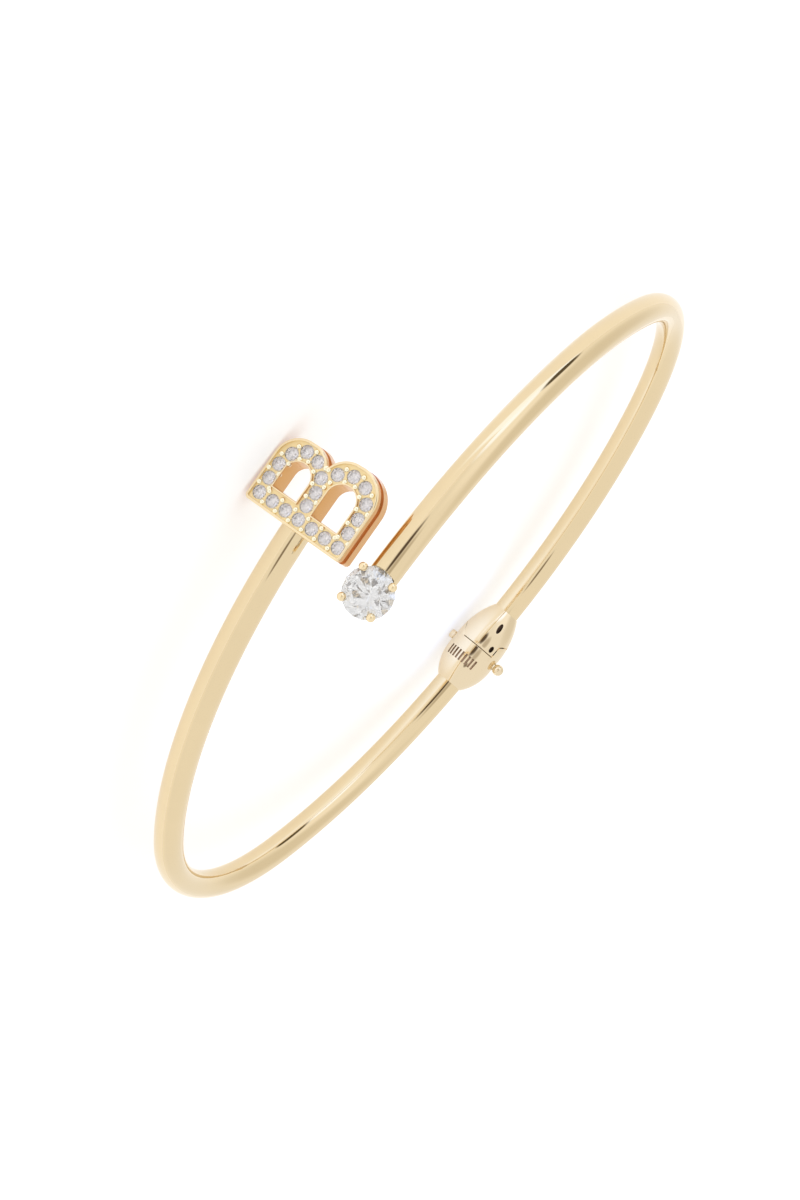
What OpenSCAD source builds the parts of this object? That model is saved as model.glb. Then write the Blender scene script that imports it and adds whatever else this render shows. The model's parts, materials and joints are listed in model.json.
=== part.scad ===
// Hinged bypass bangle of round wire. One arm carries an upright initial set with small stones, the
// other a round stone in four claws. The arms meet in a bullet hinge.
// Millimetres, +Z up. The bangle lies on its side, leaning as it does when it is put down.

/* [Wire] */
// Thickness of the round wire
wire_d = 2.35; // [2.2:0.05:2.5]
// Straight length from the hinge's middle to the first bend
hinge_straight = 2.5; // [2.2:0.1:2.8]
// Radius of the back bend, beside the hinge
back_bend_r = 31.4; // [31:0.1:32]
// Turn of the back bend, in degrees
back_bend_turn = 44; // [43.5:0.5:44.5]
// Radius of the tight side bend
side_bend_r = 18.8; // [18.6:0.1:19]
// Turn of the side bend, in degrees
side_bend_turn = 74.5; // [74:0.5:75]
// Radius of the front bend
front_bend_r = 34; // [33.5:0.5:34.5]
// Angle by which each arm leaves the bangle's plane, so that the ends pass each other
arm_fold = 4.7; // [4.5:0.1:5.2]
// Distance from the bangle's middle to the hinge
hinge_y = 24.5; // [24.3:0.1:24.7]

/* [Hinge] */
// Largest thickness of the bullet caps
cap_d = 4.5; // [4.4:0.1:4.8]
// Length of the letter arm's cap, from the pin
letter_cap_len = 3.5; // [3.3:0.1:3.8]
// Length of the stone arm's cap, from the pin
stone_cap_len = 4.4; // [4.2:0.1:4.8]
// Distance from the pin to the joint between the caps
joint_offset = 0.45; // [0.4:0.05:0.5]
// Distance between the pin and the bangle's middle line
pin_x = 0.25; // [0:0.05:0.3]
// Diameter of the pin
pin_d = 0.64; // [0.6:0.02:0.66]
// Diameter of the pin's ball head
pin_ball_d = 1; // [0.9:0.05:1.1]
// Diameter of the pin's flat head
pin_head_d = 0.8; // [0.75:0.05:0.9]
// Height of the tongue over the bangle's plane, towards the pin's ball head
tongue_high = 1.84; // [1.7:0.01:1.86]
// Depth of the tongue under the bangle's plane, towards the pin's flat head
tongue_low = 0.89; // [0.8:0.01:1.4]
// Radius of the tongue round the pin
tongue_r = 1.1; // [1:0.05:1.12]
// Radius of the ears round the pin
ear_r = 1.87; // [1.8:0.01:1.9]
// Widest opening of the hinge, in degrees
open_angle = 28; // [20:1:30]

/* [Initial] */
// Height of the initial
letter_h = 9.05; // [9:0.05:9.15]
// Thickness of the initial
letter_t = 2.45; // [2.4:0.05:2.6]
// Turn of the wire at the initial's middle, in degrees
letter_turn = 175.4; // [175:0.1:176]
// Width of the polished rim
rim_w = 0.2; // [0.16:0.01:0.24]
// Depth of the field inside the rim
field_depth = 0.2; // [0.15:0.01:0.25]
// Depth of the groove round the wall
groove_depth = 0.14; // [0.1:0.01:0.16]
// Diameter of the small stones
pave_d = 1.04; // [0.98:0.01:1.06]
// Diameter of the beads that hold the small stones
bead_d = 0.34; // [0.3:0.01:0.38]

/* [Round stone] */
// Diameter of the round stone
stone_d = 4; // [3.9:0.05:4.1]
// Turn of the wire at the round stone's middle, in degrees
stone_turn = 182.6; // [182.4:0.1:183]
// Height of the stone's girdle over the wire's middle
girdle_h = 0.75; // [0.7:0.01:0.8]
// Thickness of a claw
claw_d = 0.62; // [0.56:0.01:0.66]

/* [Rest] */
// Roll about the X axis at rest, in degrees
rest_roll = -6.48; // [-10:0.01:10]
// Shift that puts the middle of the resting bangle at the origin, its lowest point on the ground
rest_shift = [0, -0.12, 5.52]; // [-20:0.01:20]

/* [Hidden] */
$fn = 48;
// Gap between the caps at their joint
joint_gap = 0.05;
// Running gap between the ears and the tongue
side_gap = 0.06;
// Gap round the tongue and the ears
round_gap = 0.1;
// Gap between a stone and the metal
stone_gap = 0.04;
// Clearance round the pin
pin_clearance = 0.03;
// Reach of a cut past the surface that it opens
past = 0.5;

cap_r = cap_d / 2;
wire_r = wire_d / 2;
// Where the caps stop being widest, from the pin
cap_shoulder = 0.75;
// Radius of the caps at the wire
cap_neck_r = wire_r + 0.08;
// Seam between two bends: its width, its rise over the wire, and the bends' distance from its middle
seam_w = 0.7;
seam_rise = 0.012;
seam_gap = 0.06;
// Where the caps' outer halves start to lean apart, from the pin
relief_y = 0.1;
relief_angle = open_angle / 2 + 1;
// Where the ears' body starts inside the letter arm's cap, from the pin
ear_root = 1;
// How far the pin's ball head is sunk towards the cap, and the thickness of its flat head
ball_sink = 0.05;
flat_head_t = 0.42;
// Plain bars cut round the inner side of the letter arm's cap
bar_count = 9;
bar_pitch = 9;
bar_middle = 2;
bar_size = [0.9, 0.14];
bar_x = 0.65;
bar_depth = 0.16;

// The initial in right and up coordinates, with its middle on the wire
stem_left = -2.75;
// How far the initial sits below the middle of its height
letter_drop = 0.07;
letter_top = letter_h / 2 - letter_drop;
letter_bottom = letter_top - letter_h;
// Right end of the straight strokes
stroke_right = 1.24;
// Radius of the stem's two outer corners
corner_r = 0.35;
// Round ends of the bowls: right, up, radius
bowl_ends = [
    [stroke_right, letter_top - 2.1, 2.1],
    [1.55, letter_top - 2.48, 1.8],
    [1.77, letter_bottom + 2.84, 2.17],
    [1.55, letter_bottom + 2.42, 2.42]
];
// Fill between the bowls: right edge, bottom, top
waist = [2.5, 0.1, 0.62];
// Each counter is a D: left edge, middle of its round end, radius
counters = [[-0.95, [0.57, 1.89], 1.11], [-1.1, [0.98, -2], 1.2]];
counter_rim_w = 0.12;
groove_w = 0.3;
groove_level = 0.3;
face_level = letter_t / 2;
field_level = face_level - field_depth;
// How far the initial's middle lies outwards of the wire's middle
letter_out = 0.06;
// Turn of the wire between its end in the stem's wall and the initial's middle, in degrees
letter_wire_back = 4.3;

// The small stones, stroke by stroke: right, up
stem_stones = [for (i = [0:6]) [-1.87, 3.64 - 1.25 * i]];
upper_stones = [[-0.62, 3.66], [0.62, 3.66], [1.75, 3.26], [2.5, 2.36], [2.36, 1.2], [1.54, 0.3]];
bar_stones = [[0.42, -0.02], [-0.72, -0.02]];
lower_stones = [[2.42, -0.62], [2.98, -1.74], [2.78, -2.96], [1.84, -3.74], [0.62, -3.88], [-0.6, -3.88]];
pave_places = concat(stem_stones, upper_stones, bar_stones, lower_stones);
// Lines of stones, with the beads between neighbours
bead_lines = [
    stem_stones,
    concat([stem_stones[0]], upper_stones, bar_stones),
    concat([upper_stones[5]], lower_stones, [stem_stones[6]])
];
// Distance of a bead from the middle of its line
bead_offset = 0.48;
// How far a bead's middle and a stone's girdle lie under the field
bead_sink = 0.03;
girdle_sink = 0.05;

// The basket, in distance from the stone's axis and height over the wire's middle
claw_foot = [1.3, -1.05];
claw_tip = [1.88, 1.2];
claw_tip_d = claw_d + 0.06;
// Rings of the basket: radius, height, thickness
basket_rings = [[1.3, -1, 0.5], [1.58, -0.2, 0.42]];
// Turn of the wire between its end under the stone and the stone's axis
stone_wire_back = 2.4;

// Proportions of a round brilliant, as parts of its diameter
table_part = 0.56;
star_part = 0.78;
crown_part = 0.155;
girdle_part = 0.03;
lower_half_part = 0.3;
pavilion_part = 0.43;

function pave_name(i) = str("pave_stone_", i < 9 ? "0" : "", i + 1);

// Puts the bangle down as it lies at rest
module at_rest() {
    translate(rest_shift) rotate([rest_roll, 0, 0]) children();
}

// Places an arm: its own X runs along the wire away from the hinge, its Y points inwards
module letter_side() {
    translate([0, hinge_y, 0]) rotate([180, 0, 0]) children();
}

module stone_side() {
    translate([0, hinge_y, 0]) rotate([0, 0, 180]) children();
}

// Wire bent round a radius, starting along X and bending towards Y, a little short at both ends
module bend(radius, turn) {
    short = seam_gap / radius * 180 / PI;
    translate([0, radius, 0])
        rotate([0, 0, short - 90])
        rotate_extrude(angle = turn - 2 * short) translate([radius, 0]) circle(r = wire_r);
}

// Soldered seam between two bends
module seam() {
    rotate([0, 90, 0]) cylinder(r = wire_r + seam_rise, h = seam_w, center = true);
}

// Moves on to the end of a bend
module after_bend(radius, turn) {
    translate([0, radius, 0]) rotate([0, 0, turn]) translate([0, -radius, 0]) children();
}

// Moves on along the wire to the start of the side bend
module at_side() {
    translate([hinge_straight, 0, 0])
        after_bend(back_bend_r, back_bend_turn)
        rotate([arm_fold, 0, 0])
        children();
}

// Moves on along the wire to a total turn, past the side bend
module at_turn(turn) {
    at_side()
        after_bend(side_bend_r, side_bend_turn)
        after_bend(front_bend_r, turn - back_bend_turn - side_bend_turn)
        children();
}

// The wire of one arm, from inside its cap up to a total turn
module wire(turn) {
    translate([hinge_straight, 0, 0]) bend(back_bend_r, back_bend_turn);
    at_side() {
        seam();
        bend(side_bend_r, side_bend_turn);
        after_bend(side_bend_r, side_bend_turn) {
            seam();
            bend(front_bend_r, turn - back_bend_turn - side_bend_turn);
        }
    }
}

// Bullet-shaped body round X, from a start to its neck
module bullet(start, length) {
    drop = cap_r - cap_neck_r;
    run = length - cap_shoulder;
    ogive_r = (run * run + drop * drop) / (2 * drop);
    rotate([90, 0, 90]) rotate_extrude() {
        translate([0, start]) square([cap_r, cap_shoulder - start]);
        intersection() {
            translate([0, cap_shoulder]) square([cap_r, run]);
            translate([cap_r - ogive_r, cap_shoulder]) circle(r = ogive_r);
        }
    }
}

// Round body about the pin, between two heights
module about_pin(radius, low, high) {
    translate([0, 0, low]) cylinder(r = radius, h = high - low);
}

// Round bodies about the pin, from a gap past the tongue's two ends to a reach
module past_tongue(radius, gap, reach) {
    about_pin(radius, tongue_high + gap, reach);
    about_pin(radius, -reach, -tongue_low - gap);
}

// Wedge that lets the outer halves of the caps lean towards each other
module relief(face_x) {
    reach = 2 * cap_r;
    translate([0, 0, -cap_d]) linear_extrude(2 * cap_d) polygon([
        [face_x, relief_y],
        [face_x - reach, relief_y],
        [face_x - reach, relief_y - reach],
        [face_x + reach * tan(relief_angle), relief_y - reach]
    ]);
}

// Plain bars where such caps carry a mark
module bar_cuts() {
    for (i = [0:bar_count - 1])
        rotate([bar_middle + (i - (bar_count - 1) / 2) * bar_pitch, 0, 0])
        translate([bar_x, cap_r - bar_depth, -bar_size[1] / 2])
        cube([bar_size[0], 2 * bar_depth, bar_size[1]]);
}

module letter_cap() {
    difference() {
        union() {
            difference() {
                bullet(-joint_offset, letter_cap_len);
                relief(-joint_offset);
            }
            intersection() {
                mirror([1, 0, 0]) bullet(-ear_root, stone_cap_len);
                mirror([0, 0, 1]) past_tongue(ear_r, side_gap, cap_r);
            }
        }
        about_pin(tongue_r + round_gap, -tongue_high - side_gap, tongue_low + side_gap);
        about_pin(pin_d / 2 + pin_clearance, -cap_d, cap_d);
        bar_cuts();
    }
}

module stone_cap() {
    difference() {
        union() {
            difference() {
                bullet(joint_offset + joint_gap, stone_cap_len);
                relief(joint_offset + joint_gap);
                past_tongue(ear_r + round_gap, 0, cap_d);
            }
            about_pin(tongue_r, -tongue_low, tongue_high);
        }
        about_pin(pin_d / 2 + pin_clearance, -cap_d, cap_d);
    }
}

// Outline of the initial, grown or shrunk all round
module letter_outline(grow) {
    corner_x = stem_left + corner_r;
    translate([corner_x, letter_bottom - grow]) square([stroke_right - corner_x, letter_h + 2 * grow]);
    translate([stem_left - grow, letter_bottom + corner_r])
        square([corner_r + grow, letter_h - 2 * corner_r]);
    for (up = [letter_bottom + corner_r, letter_top - corner_r])
        translate([corner_x, up]) circle(r = corner_r + grow);
    for (end = bowl_ends) translate([end[0], end[1]]) circle(r = end[2] + grow);
    translate([stroke_right, waist[1]]) square([waist[0] + grow - stroke_right, waist[2] - waist[1]]);
}

// The D-shaped holes of the initial, grown all round
module letter_counters(grow) {
    for (d = counters) {
        middle = d[1];
        radius = d[2] + grow;
        translate([d[0] - grow, middle[1] - radius]) square([middle[0] - d[0] + grow, 2 * radius]);
        translate(middle) circle(r = radius);
    }
}

// Seat of a round brilliant, with its girdle at zero, open upwards
module seat(diameter) {
    radius = diameter / 2 + stone_gap;
    depth = (girdle_part + pavilion_part) * diameter + 2 * stone_gap;
    rotate_extrude() polygon([
        [0, -depth],
        [radius, -girdle_part * diameter - stone_gap],
        [radius, past],
        [0, past]
    ]);
}

// Beads on both sides of a line of stones, halfway between neighbours
module beads(line) {
    for (i = [1:len(line) - 1]) {
        step = line[i] - line[i - 1];
        across = [-step[1], step[0]] / norm(step) * bead_offset;
        for (side = [-1, 1]) translate((line[i] + line[i - 1]) / 2 + side * across) sphere(d = bead_d);
    }
}

// Metal of the initial: X right, Y up, Z outwards
module initial() {
    difference() {
        union() {
            difference() {
                translate([0, 0, -face_level]) linear_extrude(letter_t) difference() {
                    letter_outline(0);
                    letter_counters(0);
                }
                translate([0, 0, field_level]) linear_extrude(letter_t) difference() {
                    letter_outline(-rim_w);
                    letter_counters(counter_rim_w);
                }
                translate([0, 0, groove_level]) linear_extrude(groove_w) difference() {
                    letter_outline(past);
                    letter_outline(-groove_depth);
                }
            }
            translate([0, 0, field_level - bead_sink]) for (line = bead_lines) beads(line);
        }
        for (place = pave_places) translate([place[0], place[1], field_level - girdle_sink]) seat(pave_d);
    }
}

// Claw from its foot to its round tip
module claw() {
    rise = claw_tip - claw_foot;
    translate([claw_foot[0], 0, claw_foot[1]])
        rotate([0, atan2(rise[0], rise[1]), 0])
        cylinder(d = claw_d, h = norm(rise));
    translate([claw_tip[0], 0, claw_tip[1]]) sphere(d = claw_tip_d);
}

module basket() {
    for (a = [45:90:315]) rotate([0, 0, a]) claw();
    for (ring = basket_rings)
        translate([0, 0, ring[1]]) rotate_extrude() translate([ring[0], 0]) circle(d = ring[2]);
}

// Space of the round stone and of a small gap round it
module stone_space() {
    radius = stone_d / 2;
    rotate_extrude() polygon([
        [0, crown_part * stone_d + stone_gap],
        [table_part * radius + stone_gap, crown_part * stone_d + stone_gap],
        [radius + stone_gap, stone_gap],
        [radius + stone_gap, -girdle_part * stone_d - stone_gap],
        [0, -(girdle_part + pavilion_part) * stone_d - 2 * stone_gap]
    ]);
}

// Round brilliant: table, 8 star, 8 kite and 16 girdle facets over 16 lower halves and 8 mains
module brilliant(diameter) {
    radius = diameter / 2;
    half_step = cos(22.5);
    crown_h = crown_part * diameter;
    girdle_h = girdle_part * diameter;
    pavilion_h = pavilion_part * diameter;
    star_h = crown_h * (1 - star_part * half_step) / (1 - table_part);
    lower_h = -girdle_h - pavilion_h * (1 - lower_half_part * half_step);
    lower_r = lower_half_part * radius;
    points = concat(
        [for (i = [0:7]) [table_part * radius * cos(45 * i), table_part * radius * sin(45 * i), crown_h]],
        [for (i = [0:7]) let (a = 45 * i + 22.5, r = star_part * radius) [r * cos(a), r * sin(a), star_h]],
        [for (j = [0:15]) [radius * cos(22.5 * j), radius * sin(22.5 * j), 0]],
        [for (j = [0:15]) [radius * cos(22.5 * j), radius * sin(22.5 * j), -girdle_h]],
        [for (i = [0:7]) let (a = 45 * i + 22.5) [lower_r * cos(a), lower_r * sin(a), lower_h]],
        [[0, 0, -girdle_h - pavilion_h]]
    );
    star = 8;
    top = 16;
    bottom = 32;
    lower = 48;
    culet = 56;
    polyhedron(points, concat(
        [[for (i = [7:-1:0]) i]],
        [for (i = [0:7]) [i, (i + 1) % 8, star + i]],
        [for (i = [0:7]) [i, star + i, top + 2 * i, star + (i + 7) % 8]],
        [for (i = [0:7]) [star + i, top + 2 * i + 1, top + 2 * i]],
        [for (i = [0:7]) [star + i, top + (2 * i + 2) % 16, top + 2 * i + 1]],
        [for (j = [0:15]) [top + j, top + (j + 1) % 16, bottom + (j + 1) % 16, bottom + j]],
        [for (i = [0:7]) [lower + i, bottom + 2 * i, bottom + 2 * i + 1]],
        [for (i = [0:7]) [lower + i, bottom + 2 * i + 1, bottom + (2 * i + 2) % 16]],
        [for (i = [0:7]) [culet, lower + (i + 7) % 8, bottom + 2 * i, lower + i]]
    ));
}

// Places on the initial and on the round stone: Z points outwards
module on_initial() {
    letter_side() at_turn(letter_turn) translate([0, -letter_out, 0]) rotate([90, 0, 0]) children();
}

module on_stone() {
    stone_side() at_turn(stone_turn) rotate([90, 0, 0]) children();
}

module letter_arm() {
    color([0.92, 0.78, 0.5]) at_rest() {
        letter_side() {
            wire(letter_turn - letter_wire_back);
            translate([pin_x, 0, 0]) letter_cap();
        }
        on_initial() initial();
    }
}

module stone_arm() {
    color([0.9, 0.76, 0.48]) at_rest() {
        stone_side() translate([-pin_x, 0, 0]) stone_cap();
        difference() {
            union() {
                difference() {
                    stone_side() wire(stone_turn - stone_wire_back);
                    on_stone() translate([0, 0, girdle_h]) cylinder(d = stone_d + 2 * stone_gap, h = stone_d);
                }
                on_stone() basket();
            }
            on_stone() translate([0, 0, girdle_h]) stone_space();
        }
    }
}

module hinge_pin() {
    color([0.85, 0.68, 0.38]) at_rest() translate([pin_x, hinge_y, 0]) {
        head_gap = cap_r + joint_gap;
        cylinder(d = pin_d, h = 2 * head_gap, center = true);
        translate([0, 0, head_gap + pin_ball_d / 2 - ball_sink]) sphere(d = pin_ball_d);
        translate([0, 0, -head_gap - flat_head_t]) cylinder(d = pin_head_d, h = flat_head_t);
    }
}

module centre_stone() {
    color([0.93, 0.95, 0.97, 0.7]) at_rest() on_stone() translate([0, 0, girdle_h]) brilliant(stone_d);
}

module pave_stone(i) {
    place = [pave_places[i][0], pave_places[i][1], field_level - girdle_sink];
    color([0.95, 0.9, 0.93, 0.8]) at_rest() on_initial() translate(place) brilliant(pave_d);
}

letter_arm();
stone_arm();
hinge_pin();
centre_stone();
for (i = [0:len(pave_places) - 1]) pave_stone(i);
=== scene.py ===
"""Looks of a hinged bypass bangle of round wire with a stone-set initial and a round stone in claws.

The pieces are modelled in millimetres, each in the place of its own arm, and put into the frame in metres.
"""

import json
import math
from types import SimpleNamespace

import bmesh
import bpy
from bpy.props import FloatProperty, FloatVectorProperty, IntProperty, PointerProperty
from mathutils import Matrix, Vector
from mathutils.geometry import tessellate_polygon

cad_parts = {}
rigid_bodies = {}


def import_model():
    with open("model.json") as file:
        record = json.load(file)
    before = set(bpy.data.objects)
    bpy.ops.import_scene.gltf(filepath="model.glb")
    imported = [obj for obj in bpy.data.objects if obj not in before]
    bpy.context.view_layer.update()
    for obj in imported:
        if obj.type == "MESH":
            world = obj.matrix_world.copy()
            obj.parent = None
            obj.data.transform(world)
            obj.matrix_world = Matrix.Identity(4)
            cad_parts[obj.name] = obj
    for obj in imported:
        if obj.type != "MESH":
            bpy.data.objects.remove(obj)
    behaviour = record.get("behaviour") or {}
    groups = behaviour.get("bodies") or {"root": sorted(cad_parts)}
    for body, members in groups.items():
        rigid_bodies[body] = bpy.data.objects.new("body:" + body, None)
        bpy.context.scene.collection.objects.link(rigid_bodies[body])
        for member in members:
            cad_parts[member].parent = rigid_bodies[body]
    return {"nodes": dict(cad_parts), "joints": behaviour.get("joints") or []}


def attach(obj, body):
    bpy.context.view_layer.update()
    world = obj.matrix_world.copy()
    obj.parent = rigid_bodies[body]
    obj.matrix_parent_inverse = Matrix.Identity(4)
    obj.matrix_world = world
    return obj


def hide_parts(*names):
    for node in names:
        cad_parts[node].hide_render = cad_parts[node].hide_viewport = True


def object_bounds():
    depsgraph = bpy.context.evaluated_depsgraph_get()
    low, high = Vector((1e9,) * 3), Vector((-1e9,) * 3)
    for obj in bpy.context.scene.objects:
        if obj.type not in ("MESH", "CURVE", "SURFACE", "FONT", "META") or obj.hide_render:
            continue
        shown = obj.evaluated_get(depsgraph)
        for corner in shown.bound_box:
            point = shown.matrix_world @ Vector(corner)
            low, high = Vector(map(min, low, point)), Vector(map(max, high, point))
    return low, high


bl_info = {
    "name": "Initial Bangle",
    "version": (1, 0, 0),
    "blender": (4, 5, 0),
    "location": "3D View > Sidebar > Bangle",
    "description": "Builds a hinged bangle with an initial, its stones and a pale studio",
    "category": "Add Mesh",
}

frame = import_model()
cad_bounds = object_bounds()

MM = 0.001
HINGE = frame["joints"][0]
LETTER_BODY = HINGE["parent"]
STONE_BODY = HINGE["child"]
# Angle in degrees from which an edge of the gold is shaded sharp
SHARP_EDGE = 32.0

# Round ends of the initial's two bowls in millimetres: right, distance from its top or bottom, radius
UPPER_BOWL = [(1.24, 2.1, 2.1), (1.55, 2.48, 1.8)]
LOWER_BOWL = [(1.77, 2.84, 2.17), (1.55, 2.42, 2.42)]
# Right edge of the fill between the bowls
WAIST_RIGHT = 2.5
# Each counter is a D: left edge, middle of its round end, radius
COUNTERS = [(-0.95, (0.57, 1.89), 1.11), (-1.1, (0.98, -2.0), 1.2)]
# The small stones, stroke by stroke: right, up
STEM_STONES = [(-1.87, 3.64 - 1.25 * i) for i in range(7)]
UPPER_STONES = [(-0.62, 3.66), (0.62, 3.66), (1.75, 3.26), (2.5, 2.36), (2.36, 1.2), (1.54, 0.3)]
BAR_STONES = [(0.42, -0.02), (-0.72, -0.02)]
LOWER_STONES = [(2.42, -0.62), (2.98, -1.74), (2.78, -2.96), (1.84, -3.74), (0.62, -3.88), (-0.6, -3.88)]
PAVE_PLACES = STEM_STONES + UPPER_STONES + BAR_STONES + LOWER_STONES
# Lines of stones, with the beads between neighbours
BEAD_LINES = [
    STEM_STONES,
    STEM_STONES[:1] + UPPER_STONES + BAR_STONES,
    UPPER_STONES[-1:] + LOWER_STONES + STEM_STONES[-1:],
]
# A cut stone in shares of its diameter: depth of its point and of its girdle, table's radius, crown
POINT_DEPTH = 0.46
GIRDLE_DEPTH = 0.03
TABLE_RADIUS = 0.28
CROWN_HEIGHT = 0.155
# Hollows in the stone arm's cap: middle in millimetres from the pin, share of the cap's fall that is
# reached there, length, turn about the wire in degrees
HOLLOWS = [(2.85, 1 / 3, 1.0, 29.0), (0.98, 0.0, 0.62, 43.0)]
# Grain of the finishes in waves per metre
GRAIN = {"tint": 260.0, "polish": 900.0, "ripple": 500.0, "darkening": 4000.0,
         "stone": 1500.0, "floor": 40.0}
# Depth in metres of the ripple on polished gold and on the field between the small stones
RIPPLE = 0.000004
FIELD_RIPPLE = 0.00002
# Panels and openings of the light tent: azimuth, elevation, inner and outer radius in degrees, light
TENT = {
    "low glow": (0, -90, 90, 106, (1.06, 1.06, 1.06)),
    "panel glow": (-66, 28, 6, 34, (1.12, 1.13, 1.16)),
    "key panel": (-58, 3, 7, 20, (1.3, 1.5, 2.0)),
    "panel gap": (-80, 7, 6, 10.5, (0.13, 0.11, 0.08)),
    "grey corner": (-122, 40, 12, 40, (0.86, 0.84, 0.8)),
    "lens opening": (-12, 17, 4.5, 12.5, (0.13, 0.1, 0.08)),
    "lens hood": (-10, 39, 3, 14, (0.62, 0.58, 0.53)),
    "side opening": (21, 29, 3, 9, (0.3, 0.26, 0.22)),
}
# Soft edges of the bright card on the light table: direction, start and full light in millimetres
CARD_EDGES = [((0.0, -1.0, 0.0), 34.0, 38.0), ((-0.605, 0.796, 0.0), -21.0, -15.0)]
# Lamps under the light table: place, inner and outer radius in millimetres
TABLE_LAMPS = [((-14.0, -9.0, 0.0), 4.0, 14.0), ((0.0, 15.0, 0.0), 3.0, 12.0)]


def length(name, millimetres, description):
    """A size that is written in millimetres and kept in metres."""
    return FloatProperty(name=name, description=description, default=millimetres * MM,
                         min=-1.0, max=1.0, precision=5, subtype="DISTANCE", unit="LENGTH")


def angle(name, degrees, description):
    """An angle that is written in degrees and kept in radians."""
    return FloatProperty(name=name, description=description, default=math.radians(degrees),
                         subtype="ANGLE", unit="ROTATION")


def colour(name, rgb, description):
    """A finish's colour."""
    return FloatVectorProperty(name=name, description=description, default=rgb,
                               size=3, min=0.0, max=1.0, subtype="COLOR")


def share(name, value, description):
    """A number from 0 to 1."""
    return FloatProperty(name=name, description=description, default=value,
                         min=0.0, max=1.0, subtype="FACTOR")


class WireSizes(bpy.types.PropertyGroup):
    """Sizes of the two arms' wires"""

    thickness: length("Wire", 2.35, "Thickness of the round wire")
    straight: length("Straight", 2.5, "Straight length from the hinge's middle to the first bend")
    back_r: length("Back bend", 31.4, "Radius of the back bend, beside the hinge")
    back_turn: angle("Back turn", 44.0, "Turn of the back bend")
    side_r: length("Side bend", 18.8, "Radius of the tight side bend")
    side_turn: angle("Side turn", 74.5, "Turn of the side bend")
    front_r: length("Front bend", 34.0, "Radius of the front bend")
    fold: angle("Fold", 4.7, "Angle by which each arm leaves the bangle's plane")
    hinge_y: length("Hinge", 24.5, "Distance from the bangle's middle to the hinge")
    letter_turn: angle("Initial's turn", 175.4, "Turn of the wire at the initial's middle")
    letter_back: angle("Wire before the initial", 4.3, "Turn between the wire's end and the initial's middle")
    stone_turn: angle("Stone's turn", 182.6, "Turn of the wire at the round stone's middle")
    stone_back: angle("Wire before the stone", 2.4, "Turn between the wire's end and the stone's axis")
    step: angle("Step", 1.0, "Turn between two rings of the wire's skin")
    sides: IntProperty(name="Sides", description="Sides of the wire's skin", default=72, min=12)


class HingeSizes(bpy.types.PropertyGroup):
    """Sizes of the bullet hinge"""

    cap_d: length("Cap", 4.5, "Largest thickness of the bullet caps")
    letter_len: length("Letter cap", 3.5, "Length of the letter arm's cap, from the pin")
    stone_len: length("Stone cap", 4.4, "Length of the stone arm's cap, from the pin")
    shoulder: length("Shoulder", 0.75, "Where the caps stop being widest, from the pin")
    neck_rise: length("Neck", 0.08, "Height of the caps over the wire at their neck")
    joint_at: length("Joint", 0.45, "Distance from the pin to the joint between the caps")
    joint_gap: length("Joint gap", 0.05, "Gap between the caps at their joint")
    relief_y: length("Relief", 0.1, "Where the caps' outer halves start to lean apart")
    relief_angle: angle("Relief angle", 15.0, "Lean of the caps' outer halves")
    ear_root: length("Ear root", 1.0, "Where the ears start inside the letter arm's cap")
    ear_r: length("Ear", 1.87, "Radius of the ears round the pin")
    tongue_high: length("Tongue height", 1.84, "Height of the tongue over the bangle's plane")
    tongue_low: length("Tongue depth", 0.89, "Depth of the tongue under the bangle's plane")
    tongue_r: length("Tongue radius", 1.1, "Radius of the tongue round the pin")
    side_gap: length("Side gap", 0.06, "Running gap between the ears and the tongue")
    round_gap: length("Round gap", 0.1, "Gap round the tongue and the ears")
    pin_x: length("Pin offset", 0.25, "Distance between the pin and the bangle's middle line")
    pin_d: length("Pin", 0.64, "Diameter of the pin")
    pin_clearance: length("Pin clearance", 0.03, "Clearance round the pin")
    ball_d: length("Ball head", 1.0, "Diameter of the pin's ball head")
    ball_sink: length("Ball sink", 0.05, "How far the ball head is sunk towards the cap")
    head_d: length("Flat head", 0.8, "Diameter of the pin's flat head")
    head_t: length("Flat head thickness", 0.42, "Thickness of the pin's flat head")
    edge_r: length("Edge", 0.04, "Rounding of the caps' edges")
    bar_count: IntProperty(name="Bars", description="Plain bars cut in the letter arm's cap",
                           default=9, min=1)
    bar_pitch: angle("Bar pitch", 9.0, "Angle between two bars")
    bar_middle: angle("Bar middle", 2.0, "Angle of the middle of the row of bars")
    bar_length: length("Bar length", 0.9, "Length of a bar")
    bar_width: length("Bar width", 0.19, "Width of a bar")
    bar_x: length("Bar place", 0.65, "Distance of the bars from the pin")
    bar_depth: length("Bar depth", 0.16, "Depth of the bars")
    hollow_w: length("Hollow", 0.4, "Width of the small hollows in the stone arm's cap")
    hollow_depth: length("Hollow depth", 0.35, "Depth of the small hollows")


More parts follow.
